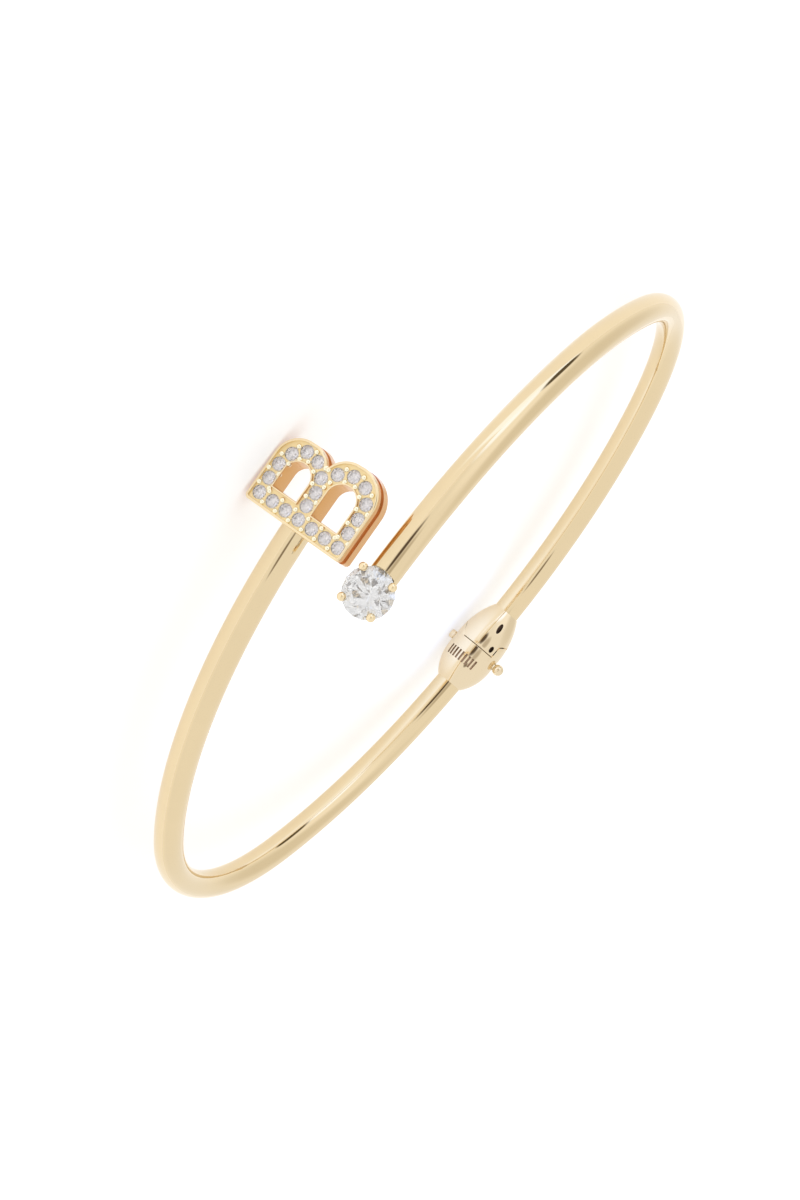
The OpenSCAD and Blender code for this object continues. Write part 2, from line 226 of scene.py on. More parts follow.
class InitialSizes(bpy.types.PropertyGroup):
    """Sizes of the initial"""

    height: length("Height", 9.05, "Height of the initial")
    thickness: length("Thickness", 2.45, "Thickness of the initial")
    top: length("Top", 4.455, "Height of its top over the wire's middle")
    left: length("Left", -2.75, "Left edge of the stem")
    outwards: length("Outwards", 0.06, "How far its middle lies outwards of the wire's middle")
    corner_r: length("Corner", 0.35, "Radius of the stem's outer corners")
    rim_w: length("Rim", 0.22, "Width of the polished rim")
    counter_rim_w: length("Counter rim", 0.12, "Width of the rim round the counters")
    rim_edge_r: length("Rim edge", 0.16, "Rounding of the rim's outer edge")
    rim_inner_r: length("Rim inner edge", 0.04, "Rounding of the rim's inner edge")
    back_edge: length("Back edge", 0.1, "Bevel of the back edge")
    field_depth: length("Field", 0.2, "Depth of the field inside the rim")
    groove_level: length("Groove level", -0.1, "Height of the groove's lower edge over the middle")
    groove_w: length("Groove width", 0.7, "Width of the groove round the wall")
    groove_depth: length("Groove depth", 0.14, "Depth of the groove round the wall")
    pave_d: length("Small stone", 1.04, "Diameter of the small stones")
    girdle_sink: length("Girdle sink", 0.05, "How far the small stones' girdles lie under the field")
    bead_d: length("Bead", 0.46, "Diameter of the beads that hold the small stones")
    bead_offset: length("Bead offset", 0.48, "Distance of a bead from the middle of its line")
    stone_gap: length("Stone gap", 0.012, "Gap between a small stone and its seat")


class SettingSizes(bpy.types.PropertyGroup):
    """Sizes of the round stone's setting"""

    stone_d: length("Round stone", 4.0, "Diameter of the round stone")
    girdle_h: length("Girdle", 0.75, "Height of the stone's girdle over the wire's middle")
    stone_gap: length("Stone gap", 0.04, "Gap round the stone in its claws and its bed")
    claw_d: length("Claw", 0.62, "Thickness of a claw")
    tip_d: length("Claw tip", 0.68, "Diameter of a claw's round tip")
    foot_r: length("Foot radius", 1.3, "Distance of a claw's foot from the stone's axis")
    foot_h: length("Foot height", -1.05, "Height of a claw's foot over the wire's middle")
    foot_edge: length("Foot edge", 0.08, "Rounding of a claw's foot")
    tip_r: length("Tip radius", 1.88, "Distance of a claw's tip from the stone's axis")
    tip_h: length("Tip height", 1.2, "Height of a claw's tip over the wire's middle")
    lower_ring_r: length("Lower ring", 1.3, "Radius of the basket's lower ring")
    lower_ring_h: length("Lower ring height", -1.0, "Height of the lower ring")
    lower_ring_t: length("Lower ring thickness", 0.5, "Thickness of the lower ring")
    upper_ring_r: length("Upper ring", 1.58, "Radius of the basket's upper ring")
    upper_ring_h: length("Upper ring height", -0.2, "Height of the upper ring")
    upper_ring_t: length("Upper ring thickness", 0.42, "Thickness of the upper ring")
    claws: IntProperty(name="Claws", description="Number of claws", default=4, min=3)


class Finishes(bpy.types.PropertyGroup):
    """Colours and polish of the metal and the stones, with painted shade on the initial's walls and groove
    and in the stone cap's hollows, painted highlights on the beads and a painted sheen on the seats
    """

    polished_gold: colour("Gold", (0.8, 0.645, 0.405), "Colour of the polished wires")
    cap_gold: colour("Cap gold", (0.83, 0.69, 0.475), "Colour of the hinge's caps and pin")
    rim_gold: colour("Rim gold", (0.89, 0.73, 0.47), "Colour of the initial's rim and the claws")
    # Painted highlight: the beads' gold is near white, lighter than the polished gold, standing in for the
    # light they catch
    bead_gold: colour("Bead gold", (1.0, 0.92, 0.7), "Colour of the beads between the small stones")
    # Painted shade: the walls' gold is painted darker and more orange than the face, as the shade on the
    # walls
    wall_gold: colour("Wall gold", (0.68, 0.36, 0.12), "Colour of the initial's walls")
    field_gold: colour("Field gold", (0.84, 0.66, 0.36), "Colour of the field between the small stones")
    # Painted sheen: the seats under the small stones are painted pale pinkish white, standing in for the
    # light the stones show
    seat_gold: colour("Seat", (0.95, 0.88, 0.84), "Colour of the bright-cut seats")
    # Painted shade: the groove's gold is painted darker and more orange than the face, as the shade inside
    # the groove
    groove_gold: colour("Groove", (0.74, 0.39, 0.165), "Colour of the groove round the initial")
    # Dull dark gold at the bottom of the plain bars, darker than the cap
    blackened_mark: colour("Mark", (0.42, 0.29, 0.19), "Colour of the blackened bars")
    # Painted shade: near-black colour in the stone cap's hollows, standing in for the shade inside them
    blackened_hollow: colour("Hollow", (0.1, 0.06, 0.04), "Colour of the dark hollows in the stone arm's cap")
    polish: share("Polish", 0.05, "Roughness of the polished metal")
    field_polish: share("Field polish", 0.3, "Roughness of the field")
    wall_polish: share("Wall polish", 0.22, "Roughness of the initial's walls")
    clear_stone: colour("Clear stone", (0.99, 0.985, 0.98), "Colour of the round stone")
    small_stone: colour("Small stone", (1.0, 0.95, 0.945), "Colour of the small stones")
    clarity: share("Clarity", 0.9, "How clear the stones are; the rest is a soft cloudiness")
    stone_ior: FloatProperty(name="Refraction", description="Refractive index of the stones",
                             default=2.1, min=1.0, max=3.0)


class StageSettings(bpy.types.PropertyGroup):
    """The pale floor, the soft light and the camera"""

    azimuth: angle("Azimuth", 2.379, "Direction of the camera round the bangle")
    elevation: angle("Elevation", 22.383, "Height of the camera over the horizon")
    roll: angle("Roll", 128.831, "Turn of the picture about the line of sight")
    distance: length("Distance", 239.09, "Distance of the camera from the bangle's middle")
    lens: FloatProperty(name="Lens", description="Focal length on a 36 mm sensor", default=89.386,
                        min=1.0, unit="CAMERA")
    shift_x: FloatProperty(name="Shift X", description="Sideways shift of the picture", default=-0.0200)
    shift_y: FloatProperty(name="Shift Y", description="Upward shift of the picture", default=-0.0064)
    floor_size: length("Floor", 950.0, "Half the width of the floor")
    floor: colour("Floor colour", (0.8, 0.8, 0.8), "Colour of the floor")
    table_glow: FloatProperty(name="Table glow", description="Light of the light table under the bangle",
                              default=0.34, min=0.0)
    card_glow: colour("Card glow", (0.48, 0.65, 1.0), "Light of the bright card on the light table")
    lamp_glow: colour("Lamp glow", (0.44, 0.55, 0.83), "Light over the lamps under the light table")


SETTINGS = {
    "bangle_wire": WireSizes,
    "bangle_hinge": HingeSizes,
    "bangle_initial": InitialSizes,
    "bangle_setting": SettingSizes,
    "bangle_finish": Finishes,
    "bangle_stage": StageSettings,
}


def sizes(name):
    """One group of settings as plain values, with its lengths in millimetres."""
    group = getattr(bpy.context.scene, name)
    values = {}
    for key, prop in group.bl_rna.properties.items():
        if key in ("rna_type", "name"):
            continue
        value = getattr(group, key)
        values[key] = value / MM if getattr(prop, "unit", "") == "LENGTH" else value
    return SimpleNamespace(**values)


# Places

def slide(x, y, z):
    return Matrix.Translation((x, y, z))


def turned(axis, turn):
    return Matrix.Rotation(turn, 4, axis)


def bangle_place():
    """Place of the resting bangle in the frame, in millimetres, from the hinge's axis."""
    up = -Vector(HINGE["axis"]).normalized()
    across = Vector((1.0, 0.0, 0.0))
    rest = Matrix((across, up.cross(across), up)).transposed().to_4x4()
    pin_place = Matrix.Translation(Vector(HINGE["pos_m"]) / MM)
    wire, hinge = sizes("bangle_wire"), sizes("bangle_hinge")
    return pin_place @ rest @ slide(-hinge.pin_x, -wire.hinge_y, 0.0)


def letter_side():
    """Place of the letter arm: its X runs along the wire away from the hinge, its Y points inwards."""
    return bangle_place() @ slide(0.0, sizes("bangle_wire").hinge_y, 0.0) @ turned("X", math.pi)


def stone_side():
    """Place of the stone arm, in the same way."""
    return bangle_place() @ slide(0.0, sizes("bangle_wire").hinge_y, 0.0) @ turned("Z", math.pi)


def on_wire(wire, turn):
    """Place on an arm's wire at a total turn."""
    place = slide(wire.straight, 0.0, 0.0)
    bends = [(wire.back_r, wire.back_turn, 0.0), (wire.side_r, wire.side_turn, wire.fold),
             (wire.front_r, math.tau, 0.0)]
    for radius, bend_turn, fold in bends:
        part = min(turn, bend_turn)
        bend = slide(0.0, radius, 0.0) @ turned("Z", part) @ slide(0.0, -radius, 0.0)
        place = place @ turned("X", fold) @ bend
        turn -= part
        if turn <= 0.0:
            break
    return place


def on_initial(wire, initial):
    """Place of the initial on its arm: X right, Y up, Z outwards."""
    return on_wire(wire, wire.letter_turn) @ slide(0.0, -initial.outwards, 0.0) @ turned("X", math.pi / 2)


def on_stone(wire):
    """Place of the round stone on its arm: Z outwards."""
    return on_wire(wire, wire.stone_turn) @ turned("X", math.pi / 2)


# Shapes

def arc(centre, radius, start, end, step=4.0):
    """Points on an arc, with its angles in degrees."""
    count = max(2, round(abs(end - start) / step))
    angles = [math.radians(start + (end - start) * i / count) for i in range(count + 1)]
    return [(centre[0] + radius * math.cos(a), centre[1] + radius * math.sin(a)) for a in angles]


def new_object(name, data):
    obj = bpy.data.objects.new(name, data)
    bpy.context.scene.collection.objects.link(obj)
    return obj


def solid(name, vertices, faces, material=None):
    """Closed mesh with its faces turned outwards."""
    mesh = bpy.data.meshes.new(name)
    shape = bmesh.new()
    corners = [shape.verts.new(v) for v in vertices]
    for face in faces:
        shape.faces.new([corners[i] for i in face])
    bmesh.ops.recalc_face_normals(shape, faces=shape.faces)
    shape.to_mesh(mesh)
    shape.free()
    if material:
        mesh.materials.append(material)
    return new_object(name, mesh)


def lathe(name, profile, sides=96, axis="Z", material=None):
    """Round body from (along, radius) rows, whose first and last lie on the axis."""
    vertices, faces, rings = [], [], []
    order = {"X": (0, 1, 2), "Z": (2, 0, 1)}[axis]
    for along, radius in profile:
        count = sides if radius > 0.0 else 1
        rings.append([len(vertices) + i for i in range(count)])
        for i in range(count):
            a = math.tau * i / sides
            row = (along, radius * math.cos(a), radius * math.sin(a))
            vertices.append([row[order.index(k)] for k in range(3)])
    for low, high in zip(rings, rings[1:]):
        for i in range(sides):
            j = (i + 1) % sides
            corners = [low[i % len(low)], low[j % len(low)], high[j % len(high)], high[i % len(high)]]
            faces.append(list(dict.fromkeys(corners)))
    return solid(name, vertices, faces, material)


def prism(name, outline, low, high, material=None):
    """Straight prism along Z over an outline."""
    count = len(outline)
    vertices = [(x, y, z) for z in (low, high) for x, y in outline]
    faces = [[i, (i + 1) % count, count + (i + 1) % count, count + i] for i in range(count)]
    faces += [list(range(count)), list(range(count, 2 * count))]
    return solid(name, vertices, faces, material)


def disc(name, radius, low, high, material=None):
    """Straight cylinder round Z."""
    return lathe(name, [(low, 0.0), (low, radius), (high, radius), (high, 0.0)], material=material)


def discard(obj):
    data = obj.data
    bpy.data.objects.remove(obj)
    if isinstance(data, bpy.types.Mesh):
        bpy.data.meshes.remove(data)


def baked(obj):
    """Plain mesh object with the modifiers of the old one worked in."""
    bpy.context.view_layer.update()
    depsgraph = bpy.context.evaluated_depsgraph_get()
    mesh = bpy.data.meshes.new_from_object(obj.evaluated_get(depsgraph))
    name = obj.name
    discard(obj)
    return new_object(name, mesh)


def combine(body, other, operation="DIFFERENCE"):
    """Body after an exact boolean with another solid, which is used up."""
    change = body.modifiers.new("Combine", "BOOLEAN")
    change.operation = operation
    change.solver = "EXACT"
    change.material_mode = "TRANSFER"
    change.object = other
    made = baked(body)
    discard(other)
    return made


def joined(*objects):
    """Several solids as one object."""
    first = objects[0]
    shape = bmesh.new()
    for obj in objects:
        shape.from_mesh(obj.data)
    shape.to_mesh(first.data)
    shape.free()
    for obj in objects[1:]:
        discard(obj)
    return first


def finish_piece(piece, name, place, body, node):
    """Puts a piece of gold into the frame, shades it and ties it to its body."""
    piece.name = name
    piece.data.name = name
    piece.data.transform(Matrix.Scale(MM, 4) @ place)
    piece.data.shade_smooth()
    piece.data.set_sharp_from_angle(angle=math.radians(SHARP_EDGE))
    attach(piece, body)
    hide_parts(node)


# Nodes

def new_node(tree, kind, inputs, **settings):
    """Node with its settings, and with inputs that are linked or set by name or number."""
    node = tree.nodes.new(kind)
    for name, value in settings.items():
        setattr(node, name, value)
    for key, value in inputs.items():
        if isinstance(value, bpy.types.NodeSocket):
            tree.links.new(value, node.inputs[key])
        else:
            node.inputs[key].default_value = value
    return node


def new_tree(name, **inputs):
    """Geometry Nodes tree with a geometry input, named inputs and a geometry output."""
    tree = bpy.data.node_groups.new(name, "GeometryNodeTree")
    for label, kind in {"Geometry": "Geometry", **inputs}.items():
        tree.interface.new_socket(label, in_out="INPUT", socket_type="NodeSocket" + kind)
    tree.interface.new_socket("Geometry", in_out="OUTPUT", socket_type="NodeSocketGeometry")
    return tree, tree.nodes.new("NodeGroupInput").outputs


def end_tree(tree, source, geometry):
    """Closes a tree with Realize Instances and Set Material."""
    real = new_node(tree, "GeometryNodeRealizeInstances", {"Geometry": geometry})
    paint = new_node(tree, "GeometryNodeSetMaterial", {
        "Geometry": real.outputs["Geometry"], "Material": source["Material"]})
    new_node(tree, "NodeGroupOutput", {"Geometry": paint.outputs["Geometry"]})
    return tree


def grown(obj, tree, **values):
    """Plain mesh of an object after a node tree, whose inputs are given by name."""
    change = obj.modifiers.new(tree.name, "NODES")
    change.node_group = tree
    for item in tree.interface.items_tree:
        if item.in_out == "INPUT" and item.name in values:
            change[item.identifier] = values[item.name]
    return baked(obj)


def round_wire_tree():
    """Sweeps a round wire along a curve."""
    tree, source = new_tree("Round wire", Radius="Float", Sides="Int", Material="Material")
    section = new_node(tree, "GeometryNodeCurvePrimitiveCircle", {
        "Resolution": source["Sides"], "Radius": source["Radius"]})
    sweep = new_node(tree, "GeometryNodeCurveToMesh", {
        "Curve": source["Geometry"], "Profile Curve": section.outputs["Curve"], "Fill Caps": True})
    return end_tree(tree, source, sweep.outputs["Mesh"])


def turned_copies_tree():
    """Repeats a shape by equal turns about an axis through the origin."""
    tree, source = new_tree("Turned copies", Count="Int", Axis="Vector", First="Float", Step="Float",
                            Material="Material")
    row = new_node(tree, "GeometryNodeMeshLine", {"Count": source["Count"], "Offset": (0.0, 0.0, 0.0)})
    index = tree.nodes.new("GeometryNodeInputIndex").outputs["Index"]
    turn = new_node(tree, "ShaderNodeMath", {0: index, 1: source["Step"], 2: source["First"]},
                    operation="MULTIPLY_ADD")
    euler = new_node(tree, "ShaderNodeVectorMath", {0: source["Axis"], "Scale": turn.outputs["Value"]},
                     operation="SCALE")
    copies = new_node(tree, "GeometryNodeInstanceOnPoints", {
        "Points": row.outputs["Mesh"], "Instance": source["Geometry"], "Rotation": euler.outputs["Vector"]})
    return end_tree(tree, source, copies.outputs["Instances"])


def beads_tree():
    """Puts a round bead on each point."""
    tree, source = new_tree("Beads", Radius="Float", Material="Material")
    bead = new_node(tree, "GeometryNodeMeshUVSphere", {
        "Segments": 20, "Rings": 12, "Radius": source["Radius"]})
    copies = new_node(tree, "GeometryNodeInstanceOnPoints", {
        "Points": source["Geometry"], "Instance": bead.outputs["Mesh"]})
    return end_tree(tree, source, copies.outputs["Instances"])


def swept(name, points, radius, sides, material, closed=False):
    """Round wire along a line of points."""
    curve = bpy.data.curves.new(name, "CURVE")
    curve.dimensions = "3D"
    spline = curve.splines.new("POLY")
    spline.points.add(len(points) - 1)
    for spot, point in zip(spline.points, points):
        spot.co = (*point, 1.0)
    spline.use_cyclic_u = closed
    line = new_object(name, curve)
    return grown(line, round_wire_tree(), Radius=radius, Sides=sides, Material=material)


# Materials

def new_material(name, colour_value, roughness, **uniform):
    """Material with one shader, whose uniform values are set on its own sockets."""
    material = bpy.data.materials.new(name)
    material.use_nodes = True
    shader = material.node_tree.nodes["Principled BSDF"]
    shader.inputs["Base Color"].default_value = (*colour_value, 1.0)
    shader.inputs["Roughness"].default_value = roughness
    for label, value in uniform.items():
        shader.inputs[label.replace("_", " ")].default_value = value
    return material, material.node_tree, shader


def noise(tree, scale, detail=3.0):
    """Noise on Object coordinates, with its grain in waves per metre."""
    place = tree.nodes.new("ShaderNodeTexCoord").outputs["Object"]
    texture = new_node(tree, "ShaderNodeTexNoise", {"Vector": place, "Scale": scale, "Detail": detail})
    return texture.outputs["Fac"]


def between(tree, value, low, high):
    """Noise spread between two values."""
    spread = new_node(tree, "ShaderNodeMapRange", {
        "Value": value, "From Min": 0.3, "From Max": 0.7, "To Min": low, "To Max": high})
    return spread.outputs["Result"]


def painted_over(tree, mask, light, below):
    """A colour with another painted over it where a mask is 1."""
    if isinstance(below, tuple):
        below = (*below, 1.0)
    blend = new_node(tree, "ShaderNodeMix", {"Factor": mask, "A": below, "B": (*light, 1.0)},
                     data_type="RGBA")
    return blend.outputs["Result"]


def speckle(tree, shader, colour_value, grain, low, high):
    """Lets noise vary a shader's colour between two multiples of it."""
    dim, bright = [tuple(min(1.0, part * c) for c in colour_value) for part in (low, high)]
    tree.links.new(painted_over(tree, noise(tree, grain), bright, dim), shader.inputs["Base Color"])


def gold_finish(name, polish="polish", ripple=RIPPLE):
    """Polished gold with faint changes of colour and polish and a soft ripple from the buffing wheel; its
    colour holds painted shade for the walls and the groove, a painted highlight for the beads and a painted
    sheen for the seats.
    """
    if name in bpy.data.materials:
        return bpy.data.materials[name]
    finish = sizes("bangle_finish")
    colour_value, roughness = tuple(getattr(finish, name)), getattr(finish, polish)
    material, tree, shader = new_material(name, colour_value, roughness, Metallic=1.0)
    speckle(tree, shader, colour_value, GRAIN["tint"], 0.97, 1.03)
    buffed = between(tree, noise(tree, GRAIN["polish"]), 0.8 * roughness, 1.3 * roughness)
    tree.links.new(buffed, shader.inputs["Roughness"])
    bump = new_node(tree, "ShaderNodeBump", {
        "Strength": 0.5, "Distance": ripple, "Height": noise(tree, GRAIN["ripple"], 1.0)})
    tree.links.new(bump.outputs["Normal"], shader.inputs["Normal"])
    return material


def darkened(name):
    """Dull dark gold at the bottom of small cuts; in the stone cap's hollows its near-black colour is painted
    shade.
    """
    colour_value = tuple(getattr(sizes("bangle_finish"), name))
    material, tree, shader = new_material(name, colour_value, roughness=0.5, Metallic=0.6)
    speckle(tree, shader, colour_value, GRAIN["darkening"], 0.7, 1.5)
    return material


def stone_material(name):
    """Clear cut stone with a faint cloudiness."""
    finish = sizes("bangle_finish")
    colour_value = tuple(getattr(finish, name))
    material, tree, shader = new_material(
        name, colour_value, roughness=0.02, Transmission_Weight=finish.clarity, IOR=finish.stone_ior)
    speckle(tree, shader, colour_value, GRAIN["stone"], 0.97, 1.0)
    return material


def soft_step(tree, value, start, end):
    """Smooth mask that rises from 0 to 1 as a value goes from a start to an end."""
    mask = new_node(tree, "ShaderNodeMapRange", {
        "Value": value, "From Min": min(start, end), "From Max": max(start, end),
        "To Min": float(start > end), "To Max": float(start < end)}, interpolation_type="SMOOTHSTEP")
    return mask.outputs["Result"]


def tent_patch(tree, direction, place, below):
    """Colour of the light tent with one soft round patch, given as in TENT."""
    azimuth, elevation, inner, outer, light = place
    turn = turned("Z", math.radians(azimuth)) @ turned("X", -math.radians(elevation))
    dot = new_node(tree, "ShaderNodeVectorMath", {0: direction, 1: turn @ Vector((0.0, -1.0, 0.0))},
                   operation="DOT_PRODUCT")
    start, end = math.cos(math.radians(outer)), math.cos(math.radians(inner))
    return painted_over(tree, soft_step(tree, dot.outputs["Value"], start, end), light, below)


def light_tent():
    """White light tent with its panels and the dark opening round the lens."""
    world = bpy.data.worlds.new("light_tent")
    world.use_nodes = True
    tree = world.node_tree
    direction = tree.nodes.new("ShaderNodeTexCoord").outputs["Generated"]
    light = (1.0, 1.0, 1.0)
    for patch in TENT.values():
        light = tent_patch(tree, direction, patch, light)
    tree.links.new(light, tree.nodes["Background"].inputs["Color"])
    return world


def light_table(stage):
    """White light table with soft lamps under it and a bright card at its left front."""
    white = tuple(stage.floor)
    material, tree, shader = new_material("floor", white, roughness=0.9, Emission_Strength=1.0)
    speckle(tree, shader, white, GRAIN["floor"], 0.99, 1.01)
    place = tree.nodes.new("ShaderNodeTexCoord").outputs["Object"]
    light = (stage.table_glow,) * 3
    for centre, inner, outer in TABLE_LAMPS:
        reach = new_node(tree, "ShaderNodeVectorMath", {0: place, 1: Vector(centre) * MM},
                         operation="DISTANCE")
        spot = soft_step(tree, reach.outputs["Value"], outer * MM, inner * MM)
        light = painted_over(tree, spot, tuple(stage.lamp_glow), light)
    edges = {}
    for number, (direction, start, end) in enumerate(CARD_EDGES):
        along = new_node(tree, "ShaderNodeVectorMath", {0: place, 1: direction}, operation="DOT_PRODUCT")
        edges[number] = soft_step(tree, along.outputs["Value"], start * MM, end * MM)
    card = new_node(tree, "ShaderNodeMath", edges, operation="MULTIPLY")
    light = painted_over(tree, card.outputs["Value"], tuple(stage.card_glow), light)
    tree.links.new(light, shader.inputs["Emission Color"])
    return material


# Pieces

def arm_wire(wire, end, gold):
    """Round wire of an arm, from its cap to a total turn."""
    count = math.ceil(end / wire.step)
    route = [on_wire(wire, end * i / count).translation for i in range(count + 1)]
    return swept("wire", route, wire.thickness / 2, wire.sides, gold)


def stone_foot(diameter, gap):
    """Half outline of a cut stone grown by a gap, along Z, from its point to its girdle."""
    return [(-POINT_DEPTH * diameter - 2 * gap, 0.0), (-GIRDLE_DEPTH * diameter - gap, diameter / 2 + gap)]


def stone_seat(diameter, gap):
    """Half outline of a cut stone's seat, open upwards."""
    return stone_foot(diameter, gap) + [(diameter, diameter / 2 + gap), (diameter, 0.0)]


def whole_stone(diameter, gap):
    """Half outline of a cut stone with its crown, grown by a gap."""
    crown = CROWN_HEIGHT * diameter + gap
    rows = stone_foot(diameter, gap) + [(gap, diameter / 2 + gap)]
    return rows + [(crown, TABLE_RADIUS * diameter + gap), (crown, 0.0)]


def bullet_profile(hinge, neck_r, start, end):
    """Half outline of a cap along its wire, with a rounded front edge and a straight shoulder."""
    steps = 24
    cap_r = hinge.cap_d / 2
    drop = cap_r - neck_r
    run = end - hinge.shoulder
    ogive_r = (run * run + drop * drop) / (2 * drop)
    tip = math.degrees(math.asin(run / ogive_r))
    rows = [(start, 0.0)]
    rows += arc((start + hinge.edge_r, cap_r - hinge.edge_r), hinge.edge_r, 180, 90, 30)
    rows += arc((hinge.shoulder, cap_r - ogive_r), ogive_r, 90, 90 - tip, tip / steps)
    return rows + [(end, 0.0)]


def relief_wedge(hinge, face_x):
    """Wedge that lets the caps' outer halves lean towards each other."""
    reach = hinge.cap_d
    return prism("relief", [
        (face_x, hinge.relief_y),
        (face_x - reach, hinge.relief_y),
        (face_x - reach, hinge.relief_y - reach),
        (face_x + reach * math.tan(hinge.relief_angle), hinge.relief_y - reach),
    ], -reach, reach)


def pin_hole(hinge):
    return disc("hole", hinge.pin_d / 2 + hinge.pin_clearance, -hinge.cap_d, hinge.cap_d)


def past_tongue(hinge, radius, gap):
    """Two cylinders round the pin, from a gap past the tongue's two ends outwards."""
    upper = disc("upper", radius, hinge.tongue_high + gap, hinge.cap_d)
    return joined(upper, disc("lower", radius, -hinge.cap_d, -hinge.tongue_low - gap))


def ears(hinge, neck_r, gold):
    """The letter arm's two ears, past both ends of the tongue."""
    profile = bullet_profile(hinge, neck_r, -hinge.ear_root, hinge.stone_len)
    body = lathe("ears", profile, axis="X", material=gold)
    body.data.transform(turned("Z", math.pi))
    ends = past_tongue(hinge, hinge.ear_r, hinge.side_gap)
    ends.data.transform(turned("X", math.pi))
    return combine(body, ends, "INTERSECT")


def plain_bars(hinge, mark):
    """Row of plain bars round the letter arm's cap."""
    near, far = hinge.bar_x, hinge.bar_x + hinge.bar_length
    low, high = hinge.cap_d / 2 - hinge.bar_depth, hinge.cap_d / 2 + hinge.bar_depth
    outline = [(near, low), (far, low), (far, high), (near, high)]
    bar = prism("bar", outline, -hinge.bar_width / 2, hinge.bar_width / 2, mark)
    first = hinge.bar_middle - (hinge.bar_count - 1) / 2 * hinge.bar_pitch
    return grown(bar, turned_copies_tree(), Count=hinge.bar_count, Axis=(1.0, 0.0, 0.0), First=first,
                 Step=hinge.bar_pitch, Material=mark)


def letter_cap(hinge, neck_r):
    """Bullet cap with two ears and a row of plain bars."""
    gold = gold_finish("cap_gold")
    profile = bullet_profile(hinge, neck_r, -hinge.joint_at, hinge.letter_len)
    cap = lathe("cap", profile, axis="X", material=gold)
    cap = combine(cap, relief_wedge(hinge, -hinge.joint_at))
    cap = combine(cap, ears(hinge, neck_r, gold), "UNION")
    slot = disc("slot", hinge.tongue_r + hinge.round_gap,
                -hinge.tongue_high - hinge.side_gap, hinge.tongue_low + hinge.side_gap)
    cap = combine(cap, slot)
    cap = combine(cap, pin_hole(hinge))
    return combine(cap, plain_bars(hinge, darkened("blackened_mark")))


def stone_cap(hinge, neck_r):
    """Bullet cap with two small hollows, painted near black inside as shade, and the tongue that fits between
    the ears.
    """
    # The hollows' material is near black, painted shade inside them
    gold, dark = gold_finish("cap_gold"), darkened("blackened_hollow")
    start = hinge.joint_at + hinge.joint_gap
    cap = lathe("cap", bullet_profile(hinge, neck_r, start, hinge.stone_len), axis="X", material=gold)
    cap = combine(cap, relief_wedge(hinge, start))
    cap = combine(cap, past_tongue(hinge, hinge.ear_r + hinge.round_gap, 0.0))
    tongue = disc("tongue", hinge.tongue_r, -hinge.tongue_low, hinge.tongue_high, gold)
    cap = combine(cap, tongue, "UNION")
    for along, fallen, reach, turn in HOLLOWS:
        skin = hinge.cap_d / 2 - fallen * (hinge.cap_d / 2 - neck_r)
        hollow = disc("hollow", hinge.hollow_w / 2, skin - hinge.hollow_depth, skin + hinge.hollow_depth,
                      dark)
        stretch = Matrix.Scale(reach / hinge.hollow_w, 4, (1.0, 0.0, 0.0))
        lean = turned("X", math.radians(turn) - math.pi / 2)
        hollow.data.transform(slide(along, 0.0, 0.0) @ lean @ stretch)
        cap = combine(cap, hollow)
    return combine(cap, pin_hole(hinge))


def ball_end(at, ball_r, rod_r):
    """Half outline of a ball on the end of a rod, from the rod to the ball's far side."""
    neck = math.degrees(math.asin(rod_r / ball_r))
    return arc((at, 0.0), ball_r, 180 - neck, 0, 6)[:-1] + [(at + ball_r, 0.0)]


def pin_profile(hinge):
    """Half outline of the pin along Z, from its flat head to its ball head."""
    head_at = hinge.cap_d / 2 + hinge.joint_gap
    low = -head_at - hinge.head_t
    edge = 2 * hinge.edge_r
    head_r, pin_r, ball_r = hinge.head_d / 2, hinge.pin_d / 2, hinge.ball_d / 2
    rows = [(low, 0.0)] + arc((low + edge, head_r - edge), edge, 180, 90, 15)
    rows += [(-head_at, head_r), (-head_at, pin_r)]
    return rows + ball_end(head_at + ball_r - hinge.ball_sink, ball_r, pin_r)


def shifted(points, distance):
    """Closed outline moved to its left by a distance, with mitred corners."""
    moved = []
    for before, here, after in zip(points[-1:] + points[:-1], points, points[1:] + points[:1]):
        one = (Vector(here) - Vector(before)).normalized()
        two = (Vector(after) - Vector(here)).normalized()
        normal = Vector((-one.y - two.y, one.x + two.x)).normalized()
        moved.append(Vector(here) + normal * distance / normal.dot(Vector((-one.y, one.x))))
    return moved


def crossing(one, two):
    """Right-hand point where two circles (right, up, radius) cross."""
    a, b = Vector(one[:2]), Vector(two[:2])
    gap = (b - a).length
    along = (gap * gap + one[2] ** 2 - two[2] ** 2) / (2 * gap)
    aside = math.sqrt(one[2] ** 2 - along ** 2)
    line = (b - a) / gap
    ends = [a + line * along + side * aside * Vector((-line.y, line.x)) for side in (1, -1)]
    return max(ends, key=lambda end: end.x)


def bearing(circle, point):
    """Direction from a circle's middle to a point, in degrees."""
    return math.degrees(math.atan2(point[1] - circle[1], point[0] - circle[0]))


def bow(circle, start, end):
    """Part of a round end from one point to another."""
    return arc(circle, circle[2], bearing(circle, start), bearing(circle, end))


def at_waist(circle, side):
    """Point of a circle on the waist's right edge, above its middle (1) or under it (-1)."""
    right, up, radius = circle
    return WAIST_RIGHT, up + side * math.sqrt(radius ** 2 - (WAIST_RIGHT - right) ** 2)


